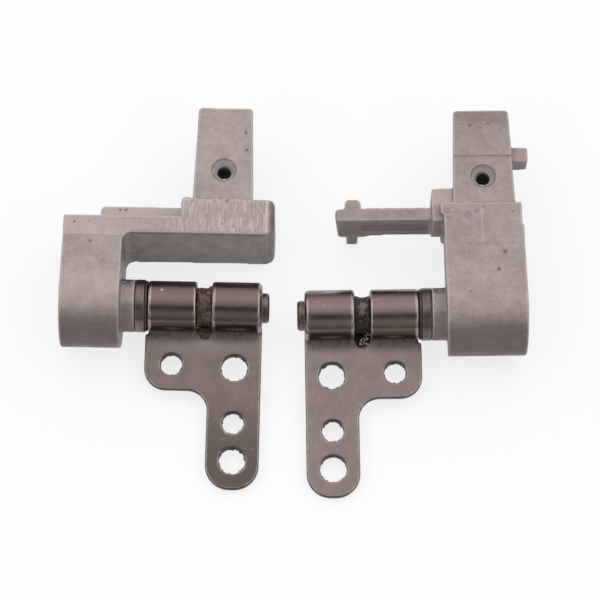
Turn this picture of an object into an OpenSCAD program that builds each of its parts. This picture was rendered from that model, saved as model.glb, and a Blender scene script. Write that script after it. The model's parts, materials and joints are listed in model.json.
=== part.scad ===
// Pair of friction hinges for a laptop lid, lying side by side as taken out.
// Each hinge is a die-cast lid arm, a turned steel pin fixed in the arm, a thin
// washer, and a stamped steel leaf whose two curls grip the pin.
// Every hinge is drawn about its own pin: X runs along the pin from the arm's boss
// to the free end, Y runs back to the lid post, and Z is up. The right hinge is
// drawn the same way and then mirrored. The pair stands on Z = 0.

/* [Pair] */
// Distance between the two arm bosses, along the pair
boss_spacing = 37.45; // [36.5:0.1:60]
// How far the right pin lies in front of the left one
right_forward = 1.16; // [0:0.1:5]
// Angle by which the left hinge's free end is turned towards the front
left_lay = 1.2; // [0:0.1:4]
// The same for the right hinge
right_lay = 0.8; // [0:0.1:4]

/* [Pin] */
// Diameter of the pin where the curls grip it
pin_d = 4.4; // [3:0.1:5]
// Diameter of the flange that bears on the arm's boss
flange_d = 6.7; // [6.4:0.1:8]
// Thickness of that flange
flange_t = 1.3; // [0.8:0.1:2]
// Length of the shank held in the arm's cheek
shank_l = 5; // [3:0.1:6.5]
// Diameter of the button at the free end
button_d = 3.8; // [2.5:0.1:4.2]
// How far the button stands out of the last curl
button_l = 0.92; // [0.5:0.1:2]
// Rounding of the button's rim
button_r = 0.4; // [0.1:0.05:0.45]
// Bevel on the rims of the flange
flange_bevel = 0.12; // [0.05:0.01:0.3]

/* [Washer] */
// Outer diameter of the washer between flange and curl
washer_d = 6.4; // [5.6:0.1:7]
// Thickness of the washer
washer_t = 0.24; // [0.2:0.02:0.6]

/* [Fits] */
// Running clearance all round the pin in the curls
run_gap = 0.04; // [0.02:0.01:0.08]
// Clearance all round the shank in the casting
shank_gap = 0.01; // [0.005:0.005:0.05]
// End play between the washer and the first curl
end_gap = 0.06; // [0.04:0.01:0.2]

/* [Leaf] */
// Thickness of the steel sheet
sheet_t = 1; // [0.7:0.05:1.2]
// Width of the leaf across the pin's direction
leaf_w = 14.85; // [13.5:0.1:18]
// Distance from the boss to the leaf's near edge
leaf_start = 1.2; // [0.6:0.05:1.6]
// Where the wide part of the flat begins, in front of the pin's axis
flat_start = 3.05; // [3:0.05:4]
// Reach of the short side, from the pin's axis
short_reach = 10.25; // [9.5:0.1:13]
// Reach of the leg, from the pin's axis
leg_reach = 23.05; // [22:0.1:30]
// Width of the leg
leg_w = 6.75; // [6:0.1:8]
// Radius of the short side's outer corner
short_corner_r = 2.8; // [1:0.1:3]
// Radius of the corners at the leg's end
leg_corner_r = 3.1; // [1:0.1:3.4]
// Radius of the inner corner between short side and leg
inner_corner_r = 2.6; // [1:0.1:3]

/* [Curls] */
// Length of the first curl, beside the washer
curl_1_l = 6.2; // [4:0.05:7]
// Width of the slot between the curls
slot_w = 1.9; // [1.3:0.1:3]
// Width of the round-ended relief at the slot's root
relief_w = 1.25; // [0.6:0.05:1.25]
// How far the relief runs into the flat, from the pin's axis
relief_reach = 3.45; // [3.3:0.05:4]
// How far below the axis the curl's end stops, in degrees
curl_end_deg = 40; // [30:1:42]
// Rounding of the curls' outer rims
curl_rim_r = 0.3; // [0.1:0.05:0.45]
// Larger rounding of the rim at the pin's free end
end_rim_r = 0.6; // [0.2:0.05:0.65]

/* [Leaf holes] */
// Diameter of the two large screw holes
large_hole_d = 3.35; // [2.5:0.05:3.6]
// Diameter of the two small screw holes
small_hole_d = 2.75; // [2:0.05:3]
// Large hole next to the pin, from the axis
large_near = 7.35; // [6.5:0.1:8]
// Large hole at the leg's end, from the axis
large_far = 19.45; // [18.5:0.1:19.8]
// Small hole in the short side, from the axis
small_near = 7; // [6:0.1:7.5]
// Small hole in the leg, from the axis
small_far = 14.55; // [13:0.1:15.5]
// Small hole in the short side, from the leaf's near edge
small_inset = 3.45; // [3:0.1:4.2]

/* [Arm castings] */
// Radius of the cheek's round end, concentric with the pin
cheek_r = 5.4; // [5:0.1:6.5]
// Height of the ground top face above the axis
top_z = 4.3; // [3.8:0.1:4.8]
// Where the sloping cheek meets the top face, behind the axis
kink_y = 7.85; // [7:0.05:8.2]
// Diameter of the boss that carries the pin
boss_d = 6.7; // [6:0.1:8]
// How far the boss stands out of the cheek
boss_l = 1.8; // [1.2:0.1:3]
// Height of the lid posts above the axis
post_z = 4; // [3.5:0.1:4.2]
// Thickness of the lid posts
post_t = 5; // [4:0.1:8]
// Rounding of the posts' outer corners
post_corner_r = 0.5; // [0.2:0.1:1]
// Draft of the posts' sides and of the right casting's inner faces, in degrees
draft = 2.5; // [0.5:0.5:4]

/* [Tapped holes] */
// Core diameter of the tapped hole in each post
tap_d = 2.1; // [1.6:0.05:2.6]
// Diameter of its countersink
sink_d = 3.3; // [2.8:0.1:4]
// Distance of the tapped hole behind the axis
tap_y = 17.4; // [16.5:0.1:19]

/* [Left arm] */
// Width of the left cheek
left_cheek_w = 7.6; // [7:0.1:12]
// Back of the left cheek, behind the axis
left_cheek_back = 10.7; // [10:0.1:11.5]
// Front face of the bar, behind the axis
bar_front = 8.35; // [8.2:0.05:9]
// Back face of the bar and shelf, behind the axis
bar_back = 13.2; // [12.5:0.05:14]
// Free end of the bar, from the boss
bar_end = 17.4; // [15.5:0.1:20]
// Where the bar grows wider, from the boss
bar_step = 5.55; // [3:0.05:6.5]
// Height of the low shelf behind the narrow bar
shelf_z = 1.4; // [0.5:0.1:3]
// How far the shelf runs out behind the cheek, from the boss
shelf_out = 4.95; // [2.5:0.1:8]
// Fillet between cheek and bar
bar_fillet_r = 1.1; // [0.5:0.1:2]
// Rounding of the bar's upright edges at its free end
bar_front_r = 1.3; // [0.5:0.1:2]
// Rounding of the bar's end along the top
bar_top_r = 1.05; // [0.4:0.05:2]
// Middle of the left post, from the boss
left_post_x = 10.75; // [10:0.05:12]
// Width of the left post at the bar
left_post_w = 7.8; // [6:0.1:8.4]
// Width of the left post at its tip
left_post_tip_w = 7.05; // [5:0.1:7.8]
// Reach of the left post, from the pin's axis
left_post_reach = 26.25; // [23:0.05:32]

/* [Right arm] */
// Width of the right cheek
right_cheek_w = 10.2; // [9.5:0.05:11]
// Step between the cheek's outer face and the narrower head behind it
head_step = 0.2; // [0.1:0.05:0.6]
// Where the head begins, behind the axis
head_start = 10.5; // [9:0.1:11.5]
// Back face of the head, behind the axis
head_back = 13.6; // [12.8:0.1:14]
// How far the head's inner tab stands out of the cheek's face
tab_out = 0.4; // [0.1:0.05:0.6]
// Where the tab begins, behind the axis
tab_start = 12.1; // [11.5:0.1:12.6]
// Middle of the right post, from the boss
right_post_x = 7.05; // [7:0.05:8]
// Width of the right post at the head
right_post_w = 8; // [6:0.1:8.2]
// Width of the right post at its tip
right_post_tip_w = 7.15; // [5:0.1:7.8]
// Reach of the right post, from the pin's axis
right_post_reach = 26.75; // [24:0.1:32]
// Where the raised end of the right post begins
raised_start = 20.3; // [19.6:0.1:22]
// Height of that raised end above the rest of the post
raised_t = 0.25; // [0.1:0.05:0.5]
// Length of the bevel at the post's tip
tip_bevel_l = 2.1; // [1:0.1:3]
// Front face of the side lug, behind the axis
lug_front = 19.7; // [19.2:0.05:20.5]
// Depth of the side lug
lug_depth = 2; // [1:0.1:3]
// How far the side lug reaches, from the boss
lug_reach = 12.95; // [12.4:0.1:15]
// Height of the side lug
lug_h = 2.7; // [1.5:0.1:3.5]
// Height of the lug's top above the axis
lug_z = 3.3; // [2:0.1:3.9]

/* [Right side arm] */
// Front face of the thin arm, behind the axis
arm_front = 11.85; // [11:0.05:12.2]
// Thickness of the thin arm
arm_t = 1.7; // [1.2:0.1:2.2]
// Top of the thin arm above the axis
arm_z = 2.9; // [2:0.1:3.3]
// Height of the thin arm
arm_h = 4.85; // [3.5:0.05:6]
// Free end of the thin arm, from the boss
arm_end = 12; // [11:0.1:15]
// How far the face of its free end slopes under
end_slope = 0.45; // [0.1:0.05:0.8]
// Length of the deeper pad at its free end
arm_pad_l = 3.75; // [3.5:0.05:5]
// How much deeper that pad is
arm_pad_drop = 0.5; // [0.2:0.1:1]
// Depth of the groove in the front face
groove_t = 0.3; // [0.1:0.05:0.6]
// Height of that groove
groove_h = 2.05; // [1:0.05:2.8]
// Distance of the groove below the arm's top
groove_drop = 1.5; // [1:0.05:2]
// Rounding of the groove's end beside the foot
groove_end_r = 0.8; // [0.2:0.1:1]
// Width of the block that carries the arm
block_w = 0.4; // [0.3:0.05:1]
// Front face of that block, behind the axis
block_front = 11.4; // [11:0.05:12]
// Height of that block above the axis
block_z = 3.5; // [3:0.1:3.9]
// Back face of that block, behind the axis
block_back = 15.95; // [14.5:0.1:17]
// Width of the foot under the thin arm, at its top
foot_w = 2.1; // [1.6:0.1:3]
// Width of the foot where it stands
foot_base_w = 1.4; // [1:0.1:1.6]
// Middle of the foot, from the boss
foot_x = 9.7; // [9:0.1:10]
// Back face of the foot, behind the axis
foot_back = 14.8; // [14:0.05:16]

/* [Hidden] */
$fn = 96;

// Zinc casting, steel pin, dark washer and plated leaf
zinc = [0.66, 0.60, 0.58];
steel = [0.45, 0.40, 0.38];
dark_steel = [0.24, 0.20, 0.19];
plated = [0.53, 0.47, 0.45];

// Radii of the sheet where it wraps the pin
curl_in_r = pin_d / 2 + run_gap;
curl_r = curl_in_r + sheet_t;
// Places along the pin, from the boss
curl_1 = flange_t + washer_t + end_gap;
slot_start = curl_1 + curl_1_l;
curl_2 = slot_start + slot_w;
leaf_end = leaf_start + leaf_w;
leg_start = leaf_end - leg_w;
pin_end = leaf_end + button_l;
leg_mid = leaf_end - leg_w / 2;
// The leaf drops until the end of its leg meets the ground that the arm lies on
leaf_tilt = asin(cheek_r / norm([leg_reach, curl_r])) - atan2(curl_r, leg_reach);
// The sloping face leaves the round end just short of a tangent and ends at the kink
tangent_inset = 0.015;
slope_r = cheek_r - tangent_inset;
slope_deg = atan2(top_z, kink_y) + acos(slope_r / norm([kink_y, top_z]));
// Inner face of both cheeks
cheek_x = -boss_l;
tap_sink = (sink_d - tap_d) / 2;
right_cheek_out = boss_l + right_cheek_w;
// Half the pair's length lies on each side of X = 0, and half its depth on each side of Y = 0
left_out = (boss_l + left_cheek_w) * cos(left_lay) + cheek_r * sin(left_lay);
right_out = lug_reach * cos(right_lay) - lug_front * sin(right_lay);
left_x = (left_out - right_out - boss_spacing) / 2;
leg_front = leg_reach * cos(leaf_tilt) - curl_in_r * sin(leaf_tilt);
right_front = right_forward + leg_front * cos(right_lay) + leg_mid * sin(right_lay);
post_corner_x = left_post_x - left_post_tip_w / 2 + post_corner_r;
left_back = left_post_reach * cos(left_lay) - post_corner_x * sin(left_lay);
left_y = (right_front - left_back) / 2;
// Rounding of small corners, overlap for clean cuts, and half the size of blocks that cut
small_r = 0.6;
cut = 1;
block_l = max(left_post_reach, right_post_reach) + cheek_r + cut;

// A flat outline in Y and Z, given thickness along X
module along_x(x, l) {
    translate([x, 0, 0]) rotate([90, 0, 90]) linear_extrude(l) children();
}

// A flat outline in X and Z, given thickness along Y
module along_y(y, l) {
    translate([0, y + l, 0]) rotate([90, 0, 0]) linear_extrude(l) children();
}

// A profile of radius and length, turned about the pin's axis
module turned() {
    rotate([0, 90, 0]) rotate_extrude() children();
}

// What a radius takes off the corner at p, whose material lies towards dir
module corner(p, dir, r) {
    translate(p) difference() {
        translate([min(dir.x, 0) * r, min(dir.y, 0) * r]) square(r);
        translate(dir * r) circle(r);
    }
}

// Half space beside an edge that runs from p at angle dir; it leans under by the draft
module drafted_side(p, dir) {
    translate([p.x, p.y, top_z]) rotate([0, 0, dir]) rotate([0, draft, 0])
        translate([0, -block_l, -block_l]) cube([block_l, 2 * block_l, 2 * block_l]);
}

// Lid post: a tongue from y on, which narrows to its tip and has drafted sides
module post(x, y, base_w, tip_w, reach, top) {
    l = reach - y;
    lean = atan2((base_w - tip_w) / 2, l);
    translate([x, y, 0]) difference() {
        translate([0, -cut, post_z - post_t]) linear_extrude(top - post_z + post_t) difference() {
            translate([-base_w, 0]) square([2 * base_w, l + cut]);
            corner([tip_w / 2, l + cut], [-1, -1], post_corner_r);
            corner([-tip_w / 2, l + cut], [1, -1], post_corner_r);
            translate([tip_w / 2, l + cut - post_corner_r]) square(base_w);
            translate([-tip_w / 2 - base_w, l + cut - post_corner_r]) square(base_w);
        }
        drafted_side([base_w / 2, 0], lean);
        mirror([1, 0, 0]) drafted_side([base_w / 2, 0], lean);
    }
}

// Side view of the cheek: round end, sloping face, flat top and flat foot
module cheek_side(back) {
    circle(cheek_r);
    polygon([
        [0, -cheek_r], [back, -cheek_r], [back, top_z], [kink_y, top_z],
        [slope_r * cos(slope_deg), slope_r * sin(slope_deg)], [0, 0]
    ]);
}

// Tapped hole with its countersink, cut down through a post
module tapped(x) {
    translate([x, tap_y, post_z - post_t - cut]) cylinder(d = tap_d, h = post_t + 2 * cut);
    translate([x, tap_y, post_z - tap_sink]) cylinder(d1 = tap_d, d2 = sink_d + 2 * cut, h = tap_sink + cut);
}

// Blind bore for the pin's shank, through the boss into the cheek
module shank_bore() {
    along_x(-boss_l - shank_l, boss_l + shank_l + cut) circle(pin_d / 2 + shank_gap);
}

module boss() {
    along_x(cheek_x - cut, boss_l + cut) circle(d = boss_d);
}

// Left arm: cheek, and a deep bar that passes behind the barrel to carry the post
module left_arm_solid() {
    base = -cheek_r;
    full_h = top_z + cheek_r;
    difference() {
        union() {
            along_x(cheek_x - left_cheek_w, left_cheek_w) cheek_side(left_cheek_back);
            boss();
            translate([0, 0, base]) linear_extrude(full_h) {
                translate([cheek_x - cut, bar_front])
                    square([bar_end - cheek_x + cut, left_cheek_back - bar_front]);
                translate([bar_step, bar_front]) square([bar_end - bar_step, bar_back - bar_front]);
                corner([cheek_x, bar_front], [1, -1], bar_fillet_r);
            }
            translate([-shelf_out, left_cheek_back - cut, base])
                cube([shelf_out + bar_step + cut, bar_back - left_cheek_back + cut, shelf_z + cheek_r]);
            post(left_post_x, bar_back, left_post_w, left_post_tip_w, left_post_reach, post_z);
        }
        translate([0, 0, base - cut]) linear_extrude(full_h + 2 * cut) {
            corner([bar_end, bar_front], [-1, 1], bar_front_r);
            corner([bar_end, bar_back], [-1, -1], small_r);
            corner([-shelf_out, bar_back], [1, -1], small_r);
        }
        along_y(bar_front - cut, bar_back - bar_front + 2 * cut)
            corner([bar_end, top_z], [-1, -1], bar_top_r);
        shank_bore();
        tapped(left_post_x);
    }
}

// Right arm: wide cheek, head, post with side lug, and the thin side arm on its foot
module right_arm_solid() {
    difference() {
        union() {
            right_cheek();
            boss();
            intersection() {
                post(-right_post_x, head_back, right_post_w, right_post_tip_w, right_post_reach, top_z);
                along_x(-right_post_x - right_post_w, 2 * right_post_w) post_side();
            }
            side_lug();
            side_arm();
        }
        shank_bore();
        tapped(-right_post_x);
    }
}

// Cheek, the head behind it, and the tab that stands out at the head's inner corner
module right_cheek() {
    head_x = cheek_x - right_cheek_w + head_step;
    difference() {
        union() {
            along_x(cheek_x - right_cheek_w, right_cheek_w) cheek_side(head_start);
            along_x(head_x, cheek_x - head_x) translate([head_start - cut, -cheek_r])
                square([head_back - head_start + cut, top_z + cheek_r]);
        }
        drafted_side([cheek_x, 0], 0);
    }
    difference() {
        along_x(head_x, cheek_x + tab_out - head_x) translate([tab_start, -cheek_r])
            square([head_back - tab_start, top_z + cheek_r]);
        drafted_side([cheek_x + tab_out, 0], 0);
    }
}

// Side view of the right post: its end stands slightly proud and slopes off at the tip
module post_side() {
    raised_z = post_z + raised_t;
    polygon([
        [head_back - cut, post_z - post_t], [head_back - cut, post_z], [raised_start, post_z],
        [raised_start, raised_z], [right_post_reach - tip_bevel_l, raised_z],
        [right_post_reach, post_z], [right_post_reach, post_z - post_t]
    ]);
}

// Small square lug on the outer side of the right post
module side_lug() {
    translate([-lug_reach, lug_front, lug_z - lug_h]) linear_extrude(lug_h) difference() {
        square([lug_reach - right_post_x, lug_depth]);
        corner([0, 0], [1, 1], small_r / 2);
        corner([0, lug_depth], [1, -1], small_r / 2);
    }
}

// Thin arm seen from the front, with a deeper pad at its free end
module side_arm_front() {
    arm_base = arm_z - arm_h;
    pad_base = arm_base - arm_pad_drop;
    pad_start = arm_end - arm_pad_l;
    difference() {
        polygon([
            [-block_w, arm_z], [-block_w, arm_base], [pad_start - 2 * arm_pad_drop, arm_base],
            [pad_start, pad_base], [arm_end - end_slope, pad_base], [arm_end, arm_z]
        ]);
        corner([arm_end - end_slope, pad_base], [-1, 1], small_r);
        corner([arm_end, arm_z], [-1, -1], small_r);
    }
}

// Thin arm, the block that joins it to the head, and the foot it stands on
module side_arm() {
    block_base = arm_z - arm_h + arm_pad_drop / 2;
    groove_end = foot_x - foot_w / 2;
    groove_z = arm_z - groove_drop;
    difference() {
        along_y(arm_front, arm_t) side_arm_front();
        along_y(arm_front - cut, cut + groove_t) difference() {
            translate([0, groove_z - groove_h]) square([groove_end, groove_h]);
            corner([groove_end, groove_z - groove_h], [-1, 1], groove_end_r);
            corner([groove_end, groove_z], [-1, -1], groove_end_r);
        }
        translate([0, 0, -cheek_r]) linear_extrude(2 * cheek_r) {
            corner([arm_end, arm_front], [-1, 1], small_r);
            corner([arm_end, arm_front + arm_t], [-1, -1], small_r);
        }
    }
    translate([cheek_x - cut, block_front, block_base])
        cube([cut - block_w - cheek_x, head_back - block_front, block_z - block_base]);
    translate([-right_post_x, head_back - cut, block_base])
        cube([right_post_x - block_w, block_back - head_back + cut, block_z - block_base]);
    difference() {
        along_y(arm_front + groove_t, foot_back - arm_front - groove_t) foot_front();
        translate([0, 0, -cheek_r]) linear_extrude(2 * cheek_r) {
            corner([foot_x - foot_w / 2, foot_back], [1, -1], small_r);
            corner([foot_x + foot_w / 2, foot_back], [-1, -1], small_r);
        }
    }
}

// Foot of the thin arm, seen from the front
module foot_front() {
    toe = foot_base_w / 2;
    difference() {
        polygon([
            [foot_x - toe, -cheek_r], [foot_x + toe, -cheek_r],
            [foot_x + foot_w / 2, arm_z], [foot_x - foot_w / 2, arm_z]
        ]);
        corner([foot_x - toe, -cheek_r], [1, 1], small_r / 2);
        corner([foot_x + toe, -cheek_r], [-1, 1], small_r / 2);
    }
}

// Turned pin: shank, flange, the length that the curls grip, and the end button
module pin_solid() {
    turned() polygon([
        [0, -boss_l - shank_l], [pin_d / 2, -boss_l - shank_l], [pin_d / 2, 0],
        [flange_d / 2 - flange_bevel, 0], [flange_d / 2, flange_bevel],
        [flange_d / 2, flange_t - flange_bevel], [flange_d / 2 - flange_bevel, flange_t],
        [pin_d / 2, flange_t], [pin_d / 2, leaf_end], [0, leaf_end]
    ]);
    turned() difference() {
        translate([0, leaf_end - cut]) square([button_d / 2, button_l + cut]);
        corner([button_d / 2, pin_end], [-1, -1], button_r);
    }
}

// Flat washer that rides on the pin against the flange
module washer_solid() {
    along_x(flange_t, washer_t) difference() {
        circle(d = washer_d);
        circle(pin_d / 2 + run_gap);
    }
}

// One curl, from x on: the sheet wrapped round the pin until it nears the flat again
module curl(x, l, far_rim_r) {
    far = 2 * curl_r;
    difference() {
        turned() translate([curl_in_r, x]) difference() {
            square([sheet_t, l]);
            corner([sheet_t, 0], [-1, 1], curl_rim_r);
            corner([sheet_t, l], [-1, -1], far_rim_r);
        }
        along_x(x - cut, l + 2 * cut) polygon([
            [0, 0], [-far * cos(curl_end_deg), -far * sin(curl_end_deg)], [-far, -far], [0, -far]
        ]);
    }
}

// Stamped blank of the leaf, with Y = 0 under the pin's axis
module leaf_blank() {
    difference() {
        union() {
            translate([leaf_start, -short_reach]) square([leaf_w, short_reach - flat_start]);
            translate([curl_1, -flat_start - cut]) square([leaf_end - curl_1, flat_start + cut]);
            translate([leg_start, -leg_reach]) square([leg_w, leg_reach - short_reach + cut]);
            corner([leg_start, -short_reach], [-1, -1], inner_corner_r);
        }
        corner([leaf_start, -short_reach], [1, 1], short_corner_r);
        corner([leg_start, -leg_reach], [1, 1], leg_corner_r);
        corner([leaf_end, -leg_reach], [-1, 1], leg_corner_r);
        translate([slot_start, -flat_start + relief_w / 2]) square([slot_w, flat_start]);
        translate([slot_start + slot_w / 2, -relief_reach + relief_w / 2]) {
            circle(d = relief_w);
            translate([-relief_w / 2, 0]) square([relief_w, relief_reach]);
        }
        for (y = [large_near, large_far]) translate([leg_mid, -y]) circle(d = large_hole_d);
        translate([leg_mid, -small_far]) circle(d = small_hole_d);
        translate([leaf_start + small_inset, -small_near]) circle(d = small_hole_d);
    }
}

module leaf_solid() {
    rotate([leaf_tilt, 0, 0]) {
        translate([0, 0, -curl_r]) linear_extrude(sheet_t) leaf_blank();
        curl(curl_1, curl_1_l, curl_rim_r);
        curl(curl_2, leaf_end - curl_2, end_rim_r);
    }
}

// Where each hinge lies in the pair
module place_left() {
    translate([left_x, left_y, cheek_r]) rotate([0, 0, -left_lay]) children();
}

module place_right() {
    translate([left_x + boss_spacing, left_y - right_forward, cheek_r])
        rotate([0, 0, right_lay]) mirror([1, 0, 0]) children();
}

module left_arm() { color(zinc) place_left() left_arm_solid(); }
module left_pin() { color(steel) place_left() pin_solid(); }
module left_washer() { color(dark_steel) place_left() washer_solid(); }
module left_leaf() { color(plated) place_left() leaf_solid(); }
module right_arm() { color(zinc) place_right() right_arm_solid(); }
module right_pin() { color(steel) place_right() pin_solid(); }
module right_washer() { color(dark_steel) place_right() washer_solid(); }
module right_leaf() { color(plated) place_right() leaf_solid(); }

left_arm();
left_pin();
left_washer();
left_leaf();
right_arm();
right_pin();
right_washer();
right_leaf();
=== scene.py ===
import json
import math
import random

import bmesh
import bpy
from mathutils import Matrix, Vector, noise
from mathutils.bvhtree import BVHTree


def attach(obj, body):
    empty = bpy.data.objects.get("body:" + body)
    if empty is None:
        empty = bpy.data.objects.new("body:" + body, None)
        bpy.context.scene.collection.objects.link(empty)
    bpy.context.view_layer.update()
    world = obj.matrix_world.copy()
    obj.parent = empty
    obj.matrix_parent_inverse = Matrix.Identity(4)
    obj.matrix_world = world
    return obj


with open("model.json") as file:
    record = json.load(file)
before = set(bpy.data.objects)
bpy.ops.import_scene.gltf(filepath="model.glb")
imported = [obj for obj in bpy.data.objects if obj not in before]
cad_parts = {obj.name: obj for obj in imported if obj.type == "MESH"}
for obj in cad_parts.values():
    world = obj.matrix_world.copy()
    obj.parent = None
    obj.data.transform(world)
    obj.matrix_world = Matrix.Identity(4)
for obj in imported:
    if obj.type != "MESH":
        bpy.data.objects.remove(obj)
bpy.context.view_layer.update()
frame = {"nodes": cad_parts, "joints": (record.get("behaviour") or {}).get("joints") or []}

# The photographer's place.
# Both hinges lie on a white table and are seen from the front and above, through a long lens.
# Everything is in metres, and MM turns the millimetres of a drawing into them.
MM = 0.001
AIM = Vector((0.537, -0.206, 5.4)) * MM
CAMERA_DISTANCE = 355.6 * MM
CAMERA_ELEVATION = math.radians(67.4)
FOCAL_LENGTH = 168

camera_data = bpy.data.cameras.new("camera")
camera_data.lens = FOCAL_LENGTH
camera_data.sensor_width = 36
camera_data.clip_start = 0.01
camera = bpy.data.objects.new("camera", camera_data)
camera_back = Vector((0, -math.cos(CAMERA_ELEVATION), math.sin(CAMERA_ELEVATION)))
camera.location = AIM + camera_back * CAMERA_DISTANCE
camera.rotation_euler = (math.pi / 2 - CAMERA_ELEVATION, 0, 0)
bpy.context.scene.collection.objects.link(camera)
bpy.context.scene.camera = camera
bpy.context.scene.view_settings.view_transform = "Standard"


def set_socket(tree, socket, value):
    """Gives a node's socket a plain value, or links another socket to it."""
    if isinstance(value, bpy.types.NodeSocket):
        tree.links.new(value, socket)
    else:
        socket.default_value = value


def add_node(tree, kind, inputs=None, **settings):
    """A shader node with its settings and inputs."""
    made = tree.nodes.new(kind)
    for name, value in settings.items():
        setattr(made, name, value)
    for name, value in (inputs or {}).items():
        set_socket(tree, made.inputs[name], value)
    return made


def calc(tree, operation, first, second=0.0):
    """The result of a sum on one or two masks."""
    return add_node(tree, "ShaderNodeMath", {0: first, 1: second}, operation=operation).outputs[0]


def times(tree, *masks):
    """Several masks multiplied together."""
    product = masks[0]
    for mask in masks[1:]:
        product = calc(tree, "MULTIPLY", product, mask)
    return product


def strongest(tree, masks):
    """The strongest of several masks at each point."""
    found = masks[0]
    for mask in masks[1:]:
        found = calc(tree, "MAXIMUM", found, mask)
    return found


def ramp(tree, value, low, high, start=0.0, end=1.0):
    """A mask that goes smoothly from start to end while value goes from low to high."""
    inputs = {"Value": value, "From Min": low, "From Max": high, "To Min": start, "To Max": end}
    made = add_node(tree, "ShaderNodeMapRange", inputs, interpolation_type="SMOOTHSTEP")
    return made.outputs["Result"]


def blend(tree, mask, first, second):
    """The first colour where the mask is 0, and the second where it is 1."""
    made = add_node(tree, "ShaderNodeMix", data_type="RGBA")
    for index, value in ((0, mask), (6, first), (7, second)):
        set_socket(tree, made.inputs[index], value)
    return made.outputs[2]


def grey(level):
    """A linear colour with equal channels."""
    return (level, level, level, 1)


def srgb(red, green, blue):
    """A colour as a screen shows it, 0 to 255, turned into the linear one that shaders take."""
    shares = [channel / 255 for channel in (red, green, blue)]
    return (*[x / 12.92 if x < 0.04045 else ((x + 0.055) / 1.055) ** 2.4 for x in shares], 1)


# Table and studio light.
# A plain white table under a broad light that leans to the back, and a dimmer light in front.
# The gap between them draws the dark line along the barrels; the side lights pick out the rims.
TABLE_HALF = 2.5
TABLE_DROP = 0.02 * MM
PAPER = grey(0.96)
PAPER_BOUNCE = grey(0.35)
PAPER_GLOW = 0.78

table_mesh = bpy.data.meshes.new("table")
table_mesh.from_pydata([(x * TABLE_HALF, y * TABLE_HALF, -TABLE_DROP)
                        for x, y in ((-1, -1), (1, -1), (1, 1), (-1, 1))], [], [(0, 1, 2, 3)])
table = bpy.data.objects.new("table", table_mesh)
bpy.context.scene.collection.objects.link(table)

white_table = bpy.data.materials.new("white_table")
white_table.use_nodes = True
tree = white_table.node_tree
tree.nodes.clear()
glow = add_node(tree, "ShaderNodeEmission", {"Color": grey(1), "Strength": 1})
rays = add_node(tree, "ShaderNodeLightPath").outputs
seen = strongest(tree, (rays["Is Camera Ray"], rays["Is Glossy Ray"], rays["Is Transmission Ray"]))
paper = add_node(tree, "ShaderNodeBsdfDiffuse", {"Color": blend(tree, seen, PAPER_BOUNCE, PAPER)})
both = add_node(tree, "ShaderNodeMixShader", {0: calc(tree, "MULTIPLY", seen, PAPER_GLOW),
                                              1: paper.outputs[0], 2: glow.outputs[0]})
add_node(tree, "ShaderNodeOutputMaterial", {"Surface": both.outputs[0]})
table_mesh.materials.append(white_table)

# Brightness by the angle from straight up, in degrees, with the back as minus
STUDIO = ((-100, 0.2), (-80, 0.4), (-66, 0.95), (-54, 1.25), (-38, 1.25), (-21, 1.45), (-10, 1.3),
          (0, 1.1), (8, 0.85), (16, 0.5), (23, 0.12), (33, 0.12), (43, 0.5), (54, 0.62), (66, 0.55),
          (80, 0.25), (90, 0.1), (100, 0.1))
STUDIO_SPAN = 200
BRIGHTEST = 2.0
# The side lights come in between two shares of the way aside and of the way up; past them it's dark
SIDE_LIGHT = 1.5
SIDE_LIGHT_ASIDE = (0.35, 0.6)
SIDE_LIGHT_UP = (0.3, 0.5)
SIDE_DARK = 0.15
SIDE_DARK_ASIDE = (0.75, 0.93)

world = bpy.data.worlds.new("studio")
bpy.context.scene.world = world
world.use_nodes = True
tree = world.node_tree
tree.nodes.clear()
sky_place = add_node(tree, "ShaderNodeTexCoord").outputs["Generated"]
way = add_node(tree, "ShaderNodeSeparateXYZ", {0: sky_place}).outputs
lean = calc(tree, "ARCTAN2", calc(tree, "MULTIPLY", way["Y"], -1.0), way["Z"])
lean = calc(tree, "DIVIDE", lean, math.radians(STUDIO_SPAN))
band = add_node(tree, "ShaderNodeValToRGB", {0: calc(tree, "ADD", lean, 0.5)})
stops = band.color_ramp.elements
while len(stops) < len(STUDIO):
    stops.new(0.5)
for stop, (angle, level) in zip(stops, STUDIO):
    stop.position = angle / STUDIO_SPAN + 0.5
    stop.color = grey(level / BRIGHTEST)
aside = calc(tree, "ABSOLUTE", way["X"])
beside = times(tree, ramp(tree, aside, *SIDE_LIGHT_ASIDE), ramp(tree, way["Z"], *SIDE_LIGHT_UP))
sky = blend(tree, beside, band.outputs[0], grey(SIDE_LIGHT / BRIGHTEST))
sky = blend(tree, ramp(tree, aside, *SIDE_DARK_ASIDE), sky, grey(SIDE_DARK / BRIGHTEST))
light = add_node(tree, "ShaderNodeBackground", {"Color": sky, "Strength": BRIGHTEST})
add_node(tree, "ShaderNodeOutputWorld", {"Surface": light.outputs[0]})


# Zinc lid arms.
# Each is one die casting of dull pinkish-grey zinc, with soft edges, fine grain, small dark pits,
# stains and scratches. The left bar's top is ground flat, with fine lines from front to back.
SIDES = {"left": 1, "right": -1}


def hinge_place(side):
    """A hinge's own axes at its joint: X along the pin from the boss, Y to the back and Z up."""
    joint = next(j for j in frame["joints"] if j["name"] == f"{side}_lid_hinge")
    along = Vector(joint["axis"])
    up = Vector((0, 0, 1))
    turn = Matrix((along * SIDES[side], up.cross(along), up)).transposed().to_4x4()
    return Matrix.Translation(Vector(joint["pos_m"])) @ turn


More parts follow.
